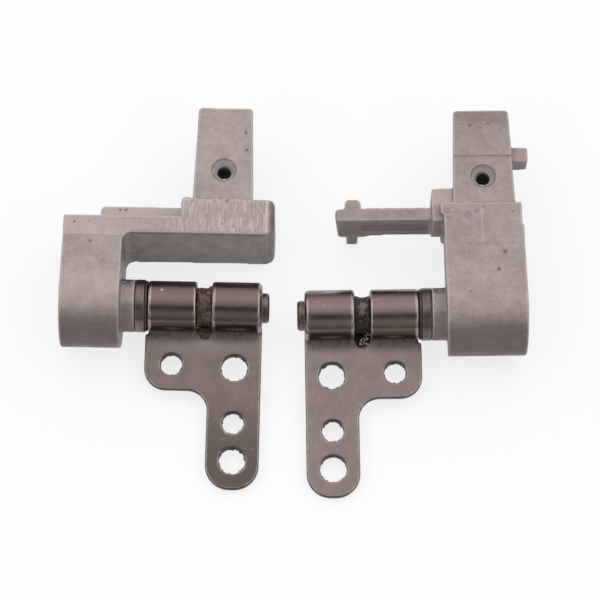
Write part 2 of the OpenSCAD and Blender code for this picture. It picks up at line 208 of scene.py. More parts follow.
def new_group(name, inputs, outputs):
    """An empty node group: its inputs are numbers, or None for a place, and its outputs masks."""
    group = bpy.data.node_groups.new(name, "ShaderNodeTree")
    for socket, value in inputs.items():
        kind = "NodeSocketVector" if value is None else "NodeSocketFloat"
        made = group.interface.new_socket(socket, in_out="INPUT", socket_type=kind)
        if value is not None:
            made.default_value = value
    for socket in outputs:
        group.interface.new_socket(socket, in_out="OUTPUT", socket_type="NodeSocketFloat")
    return group, add_node(group, "NodeGroupInput").outputs


def noise_at(tree, place, size, detail=3.0, rough=0.6, bend=0.0):
    """Soft noise whose patches are about that many millimetres across."""
    inputs = {"Vector": place, "Scale": calc(tree, "DIVIDE", 1.0, size), "Detail": detail,
              "Roughness": rough, "Distortion": bend}
    return add_node(tree, "ShaderNodeTexNoise", inputs).outputs["Fac"]


def stretched(tree, place, scale, turn=(0, 0, 0)):
    """The place turned and then scaled, for marks that run one way."""
    inputs = {"Vector": place, "Scale": scale, "Rotation": turn}
    return add_node(tree, "ShaderNodeMapping", inputs).outputs[0]


# The directions of the three sets of scratches, in radians
SCRATCH_TURNS = (0.5, 1.9, 2.7)


def metal_grain_group():
    """Tone patches, fine sand grain, small dark pits, stains and thin scratches, for any metal."""
    inputs = {"Place": None, "Patch Size": 2.2, "Grain Size": 0.16, "Pit Spacing": 0.7,
              "Pit Size": 0.1}
    outputs = ("Patches", "Grain", "Pits", "Stains", "Scratches")
    group, given = new_group("metal_grain", inputs, outputs)
    place = given["Place"]
    patches = noise_at(group, place, given["Patch Size"], 5)
    grain = noise_at(group, place, given["Grain Size"], 2)
    spacing = calc(group, "DIVIDE", 1.0, given["Pit Spacing"])
    cells = add_node(group, "ShaderNodeTexVoronoi", {"Vector": place, "Scale": spacing}).outputs
    chance = add_node(group, "ShaderNodeSeparateColor", {0: cells["Color"]}).outputs
    radius = times(group, given["Pit Size"], chance[0], ramp(group, chance[1], 0.3, 0.5))
    pits = ramp(group, calc(group, "SUBTRACT", radius, cells["Distance"]), -0.02, 0.03)
    blots = noise_at(group, stretched(group, place, (1.0, 0.8, 1.0)), 1.3, 6, 0.75)
    stains = ramp(group, blots, 0.58, 0.72)
    scratches = []
    for turn in SCRATCH_TURNS:
        along = stretched(group, place, (0.22, 1.6, 1.0), (0, 0, turn))
        lines = noise_at(group, along, 1.0, 1, 0.3, 0.3)
        off = calc(group, "ABSOLUTE", calc(group, "SUBTRACT", lines, 0.5))
        turned = stretched(group, place, (1, 1, 1), (turn, turn, 0))
        here = ramp(group, noise_at(group, turned, 2.0, 2), 0.52, 0.66)
        scratches.append(times(group, ramp(group, off, 0.008, 0.002), here))
    results = (patches, grain, pits, stains, strongest(group, scratches))
    add_node(group, "NodeGroupOutput", dict(zip(outputs, results)))
    return group


def edges_and_corners_group():
    """Masks for outer edges (wear and painted highlight) and inner corners (dirt and painted
    shade), and a normal that rounds the edges.
    """
    inputs = {"Edge Width": 0.2 * MM, "Corner Reach": 0.5 * MM}
    group, given = new_group("edges_and_corners", inputs, ("Edges", "Corners", "Wear And Highlight"))
    group.interface.new_socket("Rounded", in_out="OUTPUT", socket_type="NodeSocketVector")
    rounded = add_node(group, "ShaderNodeBevel", {"Radius": given["Edge Width"]}, samples=6)
    face = add_node(group, "ShaderNodeNewGeometry").outputs
    same = add_node(group, "ShaderNodeVectorMath", {0: rounded.outputs[0], 1: face["Normal"]},
                    operation="DOT_PRODUCT")
    open_sky = add_node(group, "ShaderNodeAmbientOcclusion", {"Distance": given["Corner Reach"]},
                        samples=8)
    add_node(group, "NodeGroupOutput", {"Edges": ramp(group, same.outputs["Value"], 0.985, 0.9),
                                        "Corners": ramp(group, open_sky.outputs["AO"], 0.7, 0.3),
                                        "Wear And Highlight": ramp(group, face["Pointiness"], 0.505, 0.535),
                                        "Rounded": rounded.outputs[0]})
    return group


metal_grain = metal_grain_group()
edges_and_corners = edges_and_corners_group()


def surface_place(tree, lie, seed):
    """The point on the surface in the millimetres of its own axes, plain and moved by a seed."""
    spot, turn, scale = lie.decompose()
    inputs = {"Vector": add_node(tree, "ShaderNodeTexCoord").outputs["Object"], "Location": spot,
              "Rotation": turn.to_euler(), "Scale": scale * MM}
    plain = add_node(tree, "ShaderNodeMapping", inputs, vector_type="TEXTURE").outputs[0]
    moved = add_node(tree, "ShaderNodeVectorMath", {0: plain, 1: (seed, seed * 0.7, seed * 1.3)})
    return plain, moved.outputs[0]


# How much rougher, and how much less of a mirror, a surface is where nothing rubs it
DULLER = 0.12
LESS_METALLIC = 0.5


class Metal:
    """A metal's nodes while they are put together: its colour, height and dullness so far."""

    def __init__(self, name, side, seed, tone, dark, tilt=0.0, edge_width=0.2):
        self.material = bpy.data.materials.new(name)
        self.material.use_nodes = True
        self.tree = self.material.node_tree
        self.tree.nodes.clear()
        self.lie = hinge_place(side) @ Matrix.Rotation(tilt, 4, "X")
        self.place, self.moved = surface_place(self.tree, self.lie, seed)
        self.across = add_node(self.tree, "ShaderNodeSeparateXYZ", {0: self.place}).outputs
        self.grain = add_node(self.tree, "ShaderNodeGroup", {"Place": self.moved},
                              node_tree=metal_grain).outputs
        self.marks = add_node(self.tree, "ShaderNodeGroup", {"Edge Width": edge_width * MM},
                              node_tree=edges_and_corners).outputs
        self.colour = blend(self.tree, self.patches(0.35, 0.65), dark, tone)
        self.height = None
        self.dull = None

    def tint(self, mask, share, colour):
        """Takes the colour part of the way to another where the mask says."""
        self.colour = blend(self.tree, times(self.tree, mask, share), self.colour, colour)

    def raise_by(self, mask, amount):
        """Raises, or with a minus lowers, the surface by millimetres where the mask is 1."""
        step = times(self.tree, mask, amount)
        self.height = step if self.height is None else calc(self.tree, "ADD", self.height, step)

    def patches(self, low, high):
        """A mask of soft patches, wide for a low pair of numbers and rare for a high one."""
        return ramp(self.tree, self.grain["Patches"], low, high)

    def span(self, axis, low, high):
        """A mask that goes from 0 to 1 while an axis of the hinge goes from low to high."""
        return ramp(self.tree, self.across[axis], low, high)

    def box(self, low, high, soft=0.1):
        """A mask for the surface between two corners of a box, with soft sides."""
        spans = []
        for axis, start, end in zip("XYZ", low, high):
            spans.append(times(self.tree, self.span(axis, start - soft, start + soft),
                               self.span(axis, end + soft, end - soft)))
        return times(self.tree, *spans)

    def facing(self, axis):
        """How squarely the surface faces along one of its own axes, from 1 to -1."""
        normal = add_node(self.tree, "ShaderNodeTexCoord").outputs["Normal"]
        way = self.lie.col["XYZ".index(axis)].to_3d()
        return add_node(self.tree, "ShaderNodeVectorMath", {0: normal, 1: way},
                        operation="DOT_PRODUCT").outputs["Value"]

    def end_faces(self, low=0.45, high=0.75):
        """A mask for the faces that look along the pin."""
        return ramp(self.tree, calc(self.tree, "ABSOLUTE", self.facing("X")), low, high)

    def from_line(self, x, y):
        """How far the surface is from an upright line."""
        aside = calc(self.tree, "POWER", calc(self.tree, "SUBTRACT", self.across["X"], x), 2.0)
        along = calc(self.tree, "POWER", calc(self.tree, "SUBTRACT", self.across["Y"], y), 2.0)
        return calc(self.tree, "SQRT", calc(self.tree, "ADD", aside, along))

    def spots(self, marks):
        """A mask for single ragged marks, each with the X, Y and Z of its middle and its radius."""
        patchy = noise_at(self.tree, self.moved, 0.3)
        ragged = ramp(self.tree, patchy, 0.3, 0.7, -0.14, 0.14)
        found = []
        for *middle, radius in marks:
            away = add_node(self.tree, "ShaderNodeVectorMath", {0: self.place, 1: middle},
                            operation="DISTANCE").outputs["Value"]
            away = calc(self.tree, "ADD", away, ragged)
            found.append(ramp(self.tree, away, radius * 1.25, radius * 0.6))
        return strongest(self.tree, found)

    def finish(self, metallic, roughness, spread=0.06, bump=0.3, gloss=0.5):
        """Adds the shader, with the roughness uneven by the spread."""
        rough = ramp(self.tree, self.grain["Patches"], 0.3, 0.7, roughness + spread,
                     roughness - spread)
        if self.dull is not None:
            rough = calc(self.tree, "ADD", rough, times(self.tree, self.dull, DULLER))
            lost = times(self.tree, self.dull, LESS_METALLIC)
            metallic = calc(self.tree, "SUBTRACT", metallic, lost)
        raised = add_node(self.tree, "ShaderNodeBump", {
            "Height": self.height, "Strength": bump, "Distance": MM,
            "Normal": self.marks["Rounded"]}).outputs[0]
        shader = add_node(self.tree, "ShaderNodeBsdfPrincipled", {
            "Base Color": self.colour, "Roughness": rough, "Metallic": metallic,
            "Specular IOR Level": gloss, "Normal": raised})
        add_node(self.tree, "ShaderNodeOutputMaterial", {"Surface": shader.outputs[0]})
        return self.material


ZINC = {"left": srgb(169, 154, 149), "right": srgb(165, 150, 145)}
ZINC_DARK = {"left": srgb(155, 140, 135), "right": srgb(151, 136, 131)}
# A paler zinc, for grain and scratches and also for painted light
ZINC_PALE_AND_LIT = srgb(194, 181, 177)
WORN_EDGE_HIGHLIGHT = srgb(210, 198, 194)
GROUND_LIGHT = srgb(208, 196, 191)
END_LINE_HIGHLIGHT = srgb(214, 202, 198)
# A stain colour, also used for painted shade on edges, rounded ends, side faces and the thin arm's
# front
STAIN_AND_SHADE = srgb(104, 88, 84)
PURPLE = srgb(128, 112, 122)
PIT = srgb(64, 50, 46)
GRIME_AND_SHADE = srgb(58, 46, 41)
GROOVE_SHADE = srgb(96, 76, 66)
UNDER_CHEEK_SHADE = srgb(98, 86, 81)
BOSS_FRONT_SHADE = srgb(70, 60, 56)
BOSS_BACK_SHADE = srgb(52, 43, 40)
BORE_SHADE = srgb(12, 9, 8)

TAP_BACK = 17.4
TAP_RADIUS = 1.05
TAP_ACROSS = {"left": 10.75, "right": -7.05}
# Each ring of the countersink: its inner and outer radius, its share and its colour
# The dark outer ring is painted shade and the pale inner ring a painted highlight
SINK_RINGS = ((1.5, 1.68, 0.5, srgb(84, 71, 66)), (1.1, 1.26, 0.5, srgb(196, 184, 179)))
# The heights between which the tapped hole goes black with painted shade, below its countersink
BORE_FADE = (3.3, 2.1)

# The left bar's ground top, as two corners, and how its lines are stretched and turned
GROUND = ((-9.5, 7.85, 4.22), (17.6, 13.5, 5.22))
GROUND_STRETCH = (1.0, 0.11, 1.0)
GROUND_TURN = (0, 0, 0.06)
# The broken line of painted shade across the tip of the right post
TIP_LINE = ((-10.7, 24.6, 4.0), (-3.4, 24.68, 4.4), 0.09)
# Boxes of a tone of their own: two corners, how soft the sides are, the share and the colour.
# Left: a painted highlight line where the bar's end starts to round, painted light on the shelf,
# painted shade on the bar's upper front edge.
# Right: the mould line, painted shade in the groove's upper part and painted light on its lower
# part, the block's top, the head's outer end.
TONED_BOXES = {
    "left": [((16.3, 8.7, 4.22), (16.5, 12.9, 5.22), 0.06, 0.8, END_LINE_HIGHLIGHT),
             ((-5.0, 10.75, 1.2), (5.6, 13.3, 1.6), 0.1, 0.75, ZINC_PALE_AND_LIT),
             ((-0.9, 8.1, 3.7), (16.6, 8.6, 4.5), 0.26, 0.55, STAIN_AND_SHADE)],
    "right": [((-6.85, 7.9, 4.2), (-6.5, 13.5, 4.5), 0.1, 0.3, ZINC_PALE_AND_LIT),
              ((-0.1, 11.9, 0.45), (8.6, 12.4, 1.5), 0.2, 0.12, GROOVE_SHADE),
              ((-0.1, 11.9, -0.9), (8.6, 12.4, 0.1), 0.2, 0.6, ZINC_PALE_AND_LIT),
              ((-3.2, 13.6, 2.0), (-0.4, 17.5, 4.6), 0.3, 0.35, ZINC_PALE_AND_LIT),
              ((-12.5, 7.9, 4.0), (-8.0, 13.6, 4.6), 0.9, 0.2, ZINC_PALE_AND_LIT)],
}
# Tones that come in along one or more axes: those spans, the share and the colour.
# Left: the post. Right: painted shade on the post's rounded end and on the thin arm's front, the
# arm end's top, the post, the arm.
TONED_SPANS = {
    "left": [({"Y": (13.3, 18.0)}, 0.14, ZINC_PALE_AND_LIT)],
    "right": [({"Y": (24.6, 25.2)}, 0.3, STAIN_AND_SHADE),
              ({"X": (-0.5, 0.2), "Z": (2.5, 2.2), "Y": (12.6, 12.3)}, 0.4, STAIN_AND_SHADE),
              ({"X": (7.5, 8.8), "Z": (2.3, 2.6)}, 0.25, ZINC_PALE_AND_LIT),
              ({"Y": (14.0, 24.0)}, 0.13, STAIN_AND_SHADE),
              ({"X": (-0.5, 1.5)}, 0.23, STAIN_AND_SHADE)],
}
# How much painted light the cheek's rounded slope gets
SLOPE_SHARE = {"left": 0.2, "right": 0.05}
# A fine painted shade line where the cheek's flat top meets its slope
KINK_LINE = {"left": ((-9.4, 7.81, 4.1), (-1.8, 7.89, 4.5), 0.07),
             "right": ((-12.0, 7.81, 4.1), (-1.8, 7.89, 4.5), 0.07)}
DARK_MARKS = {
    "left": ((-8.02, 9.7, 4.3, 0.17), (-6.0, 9.74, 4.3, 0.18), (-5.86, 7.06, 4.45, 0.2),
             (13.4, 22.7, 3.9, 0.22), (13.62, 20.3, 3.9, 0.2), (-2.49, 12.66, 1.4, 0.2),
             (-1.72, 12.68, 1.4, 0.22), (11.29, 13.0, 4.3, 0.22), (10.75, 9.81, 4.3, 0.16),
             (-0.16, 8.35, -2.2, 0.2), (-1.2, 8.2, -2.3, 0.17), (7.4, 8.35, 1.2, 0.14)),
    "right": ((-10.62, 12.27, 4.3, 0.15), (-9.4, 6.6, 4.45, 0.28), (-8.5, 4.0, 4.8, 0.25),
              (-4.7, 0.8, 5.35, 0.16), (-7.94, 24.77, 4.25, 0.15), (-5.6, 24.5, 4.25, 0.16),
              (-6.9, 12.9, 4.3, 0.14)),
}
PURPLE_MARKS = ((-2.24, 12.52, 4.3, 0.5), (-2.6, 11.4, 4.3, 0.45), (-4.9, 11.9, 4.3, 0.6),
                (-4.0, 10.4, 4.3, 0.5), (-6.0, 12.4, 4.3, 0.4))


def grind(metal):
    """Makes the left bar's top lighter, with fine bright and dark lines from front to back."""
    tree = metal.tree
    ground = metal.box(*GROUND)
    metal.tint(ground, 0.22, ZINC_PALE_AND_LIT)
    metal.tint(times(tree, ground, metal.span("X", 1.0, -4.5)), 0.4, ZINC_PALE_AND_LIT)
    place = stretched(tree, metal.place, GROUND_STRETCH, GROUND_TURN)
    lines = noise_at(tree, place, 0.19, 3, 0.6, 0.5)
    strength = ramp(tree, metal.across["X"], 1.0, 6.0, 0.2, 1.0)
    metal.tint(times(tree, ramp(tree, lines, 0.46, 0.38), ground, strength), 0.24, STAIN_AND_SHADE)
    streaks = times(tree, ramp(tree, lines, 0.5, 0.6), ground, strength)
    metal.tint(streaks, 0.55, GROUND_LIGHT)
    metal.raise_by(streaks, 0.014)


def zinc_material(side, seed):
    """Die-cast zinc with painted light and shade, the tapped hole black inside with painted shade,
    and the left bar's top ground.
    """
    metal = Metal(f"zinc_{side}", side, seed, ZINC[side], ZINC_DARK[side])
    tree = metal.tree
    sand = ramp(tree, metal.grain["Grain"], 0.35, 0.65)
    metal.tint(sand, 0.25, ZINC_PALE_AND_LIT)
    metal.raise_by(sand, 0.008)
    mottle = noise_at(tree, metal.moved, 0.7, 5, 0.7)
    metal.tint(ramp(tree, mottle, 0.55, 0.38), 0.15, STAIN_AND_SHADE)
    metal.raise_by(mottle, 0.022)
    metal.tint(metal.grain["Stains"], 0.24, STAIN_AND_SHADE)
    metal.tint(metal.grain["Scratches"], 0.35, ZINC_PALE_AND_LIT)
    metal.raise_by(metal.grain["Scratches"], -0.004)
    if side == "left":
        grind(metal)
    else:
        patchy = times(tree, metal.spots(PURPLE_MARKS), metal.patches(0.4, 0.6))
        metal.tint(patchy, 0.6, PURPLE)
        broken = times(tree, metal.box(*TIP_LINE), metal.patches(0.36, 0.46))
        metal.tint(broken, 0.6, STAIN_AND_SHADE)
    for low, high, soft, share, colour in TONED_BOXES[side]:
        metal.tint(metal.box(low, high, soft), share, colour)
    for spans, share, colour in TONED_SPANS[side]:
        mask = times(tree, *[metal.span(axis, *ends) for axis, ends in spans.items()])
        metal.tint(mask, share, colour)

    # Painted light on the cheek's rounded slope, painted shade where its rounded end turns under,
    # and painted shade on both sides of the boss
    backward = metal.facing("Y")
    cheek = metal.span("X", -1.7, -1.9)
    slope = times(tree, cheek, metal.span("Y", 4.5, 2.0), ramp(tree, backward, -0.5, -0.3))
    metal.tint(slope, SLOPE_SHARE[side], ZINC_PALE_AND_LIT)
    under = times(tree, ramp(tree, backward, -0.36, -0.72), metal.span("Y", 2, 0), cheek)
    metal.tint(under, 0.64, UNDER_CHEEK_SHADE)
    boss = times(tree, metal.span("X", -1.8, -1.7), metal.span("Y", 4.2, 3.8))
    metal.tint(times(tree, boss, metal.span("Y", -0.7, -1.15)), 0.28, BOSS_FRONT_SHADE)
    metal.tint(times(tree, boss, metal.span("Y", 1.2, 2.7)), 0.8, BOSS_BACK_SHADE)

    # Painted shade on the faces that look along the pin
    metal.tint(metal.end_faces(0.5, 0.95), 0.28, STAIN_AND_SHADE)
    metal.tint(metal.box(*KINK_LINE[side]), 0.45, STAIN_AND_SHADE)
    metal.tint(metal.grain["Pits"], 0.7, PIT)
    metal.raise_by(metal.grain["Pits"], -0.03)
    metal.tint(metal.spots(DARK_MARKS[side]), 0.65, PIT)
    # Painted highlight along the outer edges, partly real wear
    metal.tint(metal.marks["Wear And Highlight"], 0.5, WORN_EDGE_HIGHLIGHT)
    # Painted shade on the left bar's rounded end
    if side == "left":
        metal.tint(metal.span("X", 16.45, 16.95), 0.6, STAIN_AND_SHADE)
    # Painted shade in the inner corners, with grime
    metal.tint(metal.marks["Corners"], 0.4, GRIME_AND_SHADE)

    out = metal.from_line(TAP_ACROSS[side], TAP_BACK)
    near_top = metal.span("Z", 2.6, 2.9)
    for inner, outer, share, colour in SINK_RINGS:
        ring = times(tree, ramp(tree, out, inner - 0.05, inner + 0.03),
                     ramp(tree, out, outer + 0.05, outer - 0.03), near_top)
        metal.tint(ring, share, colour)
    # Painted shade deep in the tapped hole
    bore = times(tree, ramp(tree, out, TAP_RADIUS + 0.12, TAP_RADIUS + 0.02),
                 metal.span("Z", *BORE_FADE))
    metal.tint(bore, 0.97, BORE_SHADE)
    return metal.finish(0.12, 0.44, gloss=0.3)


def soften_edges(node, grid, passes):
    """Rounds a casting's or a pressing's edges, as they are on the real one, by meshing it anew."""
    weld = node.modifiers.new("weld", "WELD")
    weld.merge_threshold = 0.002 * MM
    remesh = node.modifiers.new("fine_mesh", "REMESH")
    remesh.mode = "VOXEL"
    remesh.voxel_size = grid
    remesh.use_smooth_shade = True
    smooth = node.modifiers.new("rounding", "SMOOTH")
    smooth.factor = 0.5
    smooth.iterations = passes


def dress(node, material):
    """Gives a CAD piece its material."""
    node.data.materials.clear()
    node.data.materials.append(material)


# The skin of a die casting isn't quite flat
casting_skin = bpy.data.textures.new("casting_skin", "CLOUDS")
casting_skin.noise_scale = 1.3 * MM
casting_skin.noise_depth = 3
zinc = {}
for side, seed in (("left", 3.0), ("right", 41.0)):
    arm = frame["nodes"][f"{side}_arm"]
    zinc[side] = zinc_material(side, seed)
    dress(arm, zinc[side])
    soften_edges(arm, 0.15 * MM, 2)
    waves = arm.modifiers.new("waves", "DISPLACE")
    waves.texture = casting_skin
    waves.strength = 0.05 * MM
    waves.mid_level = 0.8


# Threads of the tapped holes.
# Each post is tapped for a small screw: a zinc ridge winds down the bore from the countersink.
THREAD_PITCH = 0.45
THREAD_CREST = 0.9
THREAD_TOP = 3.3
THREAD_BOTTOM = -0.92
TURN_STEPS = 32
# How deep the ridge's root is in the wall, and half the height of its root and of its crest
ROOT_DEPTH = 0.03
ROOT_HALF = 0.18
CREST_HALF = 0.04
# The ridge grows to its full height over this many steps at each end
RUN_OUT_STEPS = 12


def add_piece(name, side, points, faces, body, material, smooth=True):
    """A closed mesh drawn in a hinge's own millimetres, which rides on a body of the part."""
    place = hinge_place(side)
    mesh = bpy.data.meshes.new(name)
    mesh.from_pydata([place @ (Vector(point) * MM) for point in points], [], faces)
    work = bmesh.new()
    work.from_mesh(mesh)
    bmesh.ops.recalc_face_normals(work, faces=work.faces)
    for face in work.faces:
        face.smooth = smooth
    work.to_mesh(mesh)
    work.free()
    mesh.materials.append(material)
    piece = bpy.data.objects.new(name, mesh)
    bpy.context.scene.collection.objects.link(piece)
    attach(piece, body)
    return piece


def tube_faces(rings, ring, start=0):
    """The faces of a closed tube through rings of points, with both ends capped."""
    last = start + (rings - 1) * ring
    faces = [tuple(range(start, start + ring)), tuple(range(last, last + ring))]
    for i in range(rings - 1):
        for k in range(ring):
            a, b = start + i * ring + k, start + i * ring + (k + 1) % ring
            faces.append((a, b, b + ring, a + ring))
    return faces


for side in SIDES:
    steps = round((THREAD_TOP - THREAD_BOTTOM) / THREAD_PITCH * TURN_STEPS)
    points = []
    for i in range(steps + 1):
        angle = 2 * math.pi * i / TURN_STEPS
        height = THREAD_TOP - THREAD_PITCH * i / TURN_STEPS
        fade = min(1, i / RUN_OUT_STEPS, (steps - i) / RUN_OUT_STEPS)
        crest = TAP_RADIUS - (TAP_RADIUS - THREAD_CREST) * (0.1 + 0.9 * fade)
        root = TAP_RADIUS + ROOT_DEPTH
        for radius, rise in ((root, ROOT_HALF), (crest, CREST_HALF), (crest, -CREST_HALF),
                             (root, -ROOT_HALF)):
            points.append((TAP_ACROSS[side] + radius * math.cos(angle),
                           TAP_BACK + radius * math.sin(angle), height + rise))
    add_piece(f"{side}_thread", side, points, tube_faces(steps + 1, 4), f"{side}_lid_arm",
              zinc[side], smooth=False)


# Burrs and the mould line.
# Grinding left a ragged edge at the left bar's step, the right side arm's back edge was torn when
# it was clipped off its runner, and the mould's halves left a low line along the right head.
RIDGE_STEP = 0.07
RIDGE_DEPTH = 0.06
# Half the width of a ridge's root and of its crest, as shares of its width
RIDGE_ROOT = 0.5
RIDGE_CREST = 0.14
# Each ridge: its name and side, the ends of its line, the ways it stands out and is wide,
# its width, its lowest and highest height and a seed
RIDGES = (
    ("left_step_burr", "left", (5.6, 10.8, 4.12), (5.6, 13.1, 4.12), (-1, 0, 0), (0, 0, 1),
     0.2, 0.02, 0.17, 1.5),
    ("left_back_burr", "left", (5.65, 13.15, 4.12), (6.9, 13.15, 4.12), (0, 1, 0), (0, 0, 1),
     0.2, 0.02, 0.34, 4.1),
    ("right_side_arm_burr", "right", (0.5, 13.5, 2.74), (8.3, 13.5, 2.74), (0, 1, 0), (0, 0, 1),
     0.18, 0.02, 0.2, 6.3),
    ("right_mould_line", "right", (-6.74, 13.3, 4.27), (-6.5, 8.0, 4.27), (0, 0, 1), (1, 0, 0),
     0.2, 0.02, 0.05, 9.2),
)

for name, side, start, end, out, across, width, low, high, seed in RIDGES:
    start, end, out, across = Vector(start), Vector(end), Vector(out), Vector(across)
    steps = max(2, round((end - start).length / RIDGE_STEP))
    points = []
    for i in range(steps):
        spot = start.lerp(end, i / (steps - 1))
        wild = abs(noise.noise(spot * 2.3 + Vector((seed, 0, 0)))) * 1.3
        wild += 0.5 * abs(noise.noise(spot * 7.0 + Vector((0, seed, 0))))
        rise = low + (high - low) * min(1, wild)
        for far, wide in ((-RIDGE_DEPTH, -RIDGE_ROOT), (rise, -RIDGE_CREST), (rise, RIDGE_CREST),
                          (-RIDGE_DEPTH, RIDGE_ROOT)):
            points.append(spot + out * far + across * (wide * width))
    add_piece(name, side, points, tube_faces(steps, 4), f"{side}_lid_arm", zinc[side],
              smooth=False)


# Turned steel pins.
# Each is pressed into its arm; the flange and the button at the free end are what shows of it.
# The steel is darkened by oil; its rims, the button's too, are rubbed bright with a painted
# highlight, and its ends and inner corners get painted shade.
STEEL = srgb(112, 98, 94)
STEEL_DARK = srgb(96, 82, 77)
STEEL_LIGHT = srgb(165, 152, 148)
RUBBED_RIM_HIGHLIGHT = srgb(206, 196, 192)
PIN_END_SHADE = srgb(52, 42, 40)
PIN_CORNER_SHADE = srgb(34, 26, 24)


def steel_material(side, seed):
    """Oily turned steel, with fine lines round it, rubbed rims with a painted highlight, and
    painted shade on its ends and in its corners.
    """
    metal = Metal(f"turned_steel_{side}", side, seed, STEEL, STEEL_DARK, edge_width=0.12)
    tree = metal.tree
    turning = noise_at(tree, stretched(tree, metal.place, (1.0, 0.05, 0.05)), 0.12, 2)
    metal.tint(ramp(tree, turning, 0.4, 0.7), 0.25, STEEL_LIGHT)
    metal.raise_by(turning, 0.004)
    metal.tint(metal.grain["Stains"], 0.5, GRIME_AND_SHADE)
    # Painted highlight on the rims, with rubbed wear
    metal.tint(metal.marks["Edges"], 0.75, RUBBED_RIM_HIGHLIGHT)
    # Painted shade on the ends and in the corners
    metal.tint(metal.end_faces(), 0.75, PIN_END_SHADE)
    metal.tint(metal.marks["Corners"], 0.85, PIN_CORNER_SHADE)
    return metal.finish(1.0, 0.34)


for side, seed in (("left", 7.0), ("right", 8.5)):
    dress(frame["nodes"][f"{side}_pin"], steel_material(side, seed))


# Washers.
# Thin dark rings of spring steel, oily and nearly black, between the flange and the first curl.
WASHER = srgb(98, 84, 79)
WASHER_DARK = srgb(74, 62, 58)

for side, seed in (("left", 11.0), ("right", 12.5)):
    metal = Metal(f"dark_washer_{side}", side, seed, WASHER, WASHER_DARK)
    metal.raise_by(metal.grain["Grain"], 0.004)
    dress(frame["nodes"][f"{side}_washer"], metal.finish(0.6, 0.5))


# Steel leaves.
# Stamped sheet with a satin nickel finish, whose two curls are rolled round the pin and shine.
# Sheared edges are dark, bare steel with painted shade, and dirty oil has settled along the line
# where the curls meet the flat.
LEAF_TILT = math.radians(5.413)
LEAF_TOP = -2.24
SEAM_BACK = -2.75
# Each screw hole's middle and radius
LEAF_HOLES = ((12.675, -7.35, 1.675), (12.675, -19.45, 1.675), (12.675, -14.55, 1.375),
              (4.65, -7.0, 1.375))
# Where the rims of the curls are along the pin, and half the width of the rubbed line with painted
# highlight on each
CURL_RIMS = (2.0, 7.62, 10.1, 15.72)
RIM_HALF = 0.08
CURL_TONES = {"left": srgb(114, 99, 94), "right": srgb(120, 105, 99)}
# Each leaf's usual tone and the tone of its darker patches; the left leaf's tones are darker, as
# painted shade
LEAF_TONES = {"left": (srgb(123, 108, 102), srgb(117, 102, 96)),
              "right": (srgb(137, 121, 116), srgb(130, 114, 109))}
NICKEL_PALE_AND_LIT = srgb(200, 188, 184)
LEG_SHADE = srgb(86, 73, 66)
CURL_UNDER_PAINTED_LIGHT = srgb(196, 182, 175)
SHEARED_EDGE_SHADE = srgb(36, 28, 25)
HOLE_BACK_SHADE = srgb(44, 34, 30)
CURL_END_SHADE = srgb(58, 45, 42)
OIL_BROWN = srgb(66, 50, 39)
SEAM_DIRT = srgb(46, 34, 27)
LEAF_CORNER_SHADE = srgb(40, 30, 25)


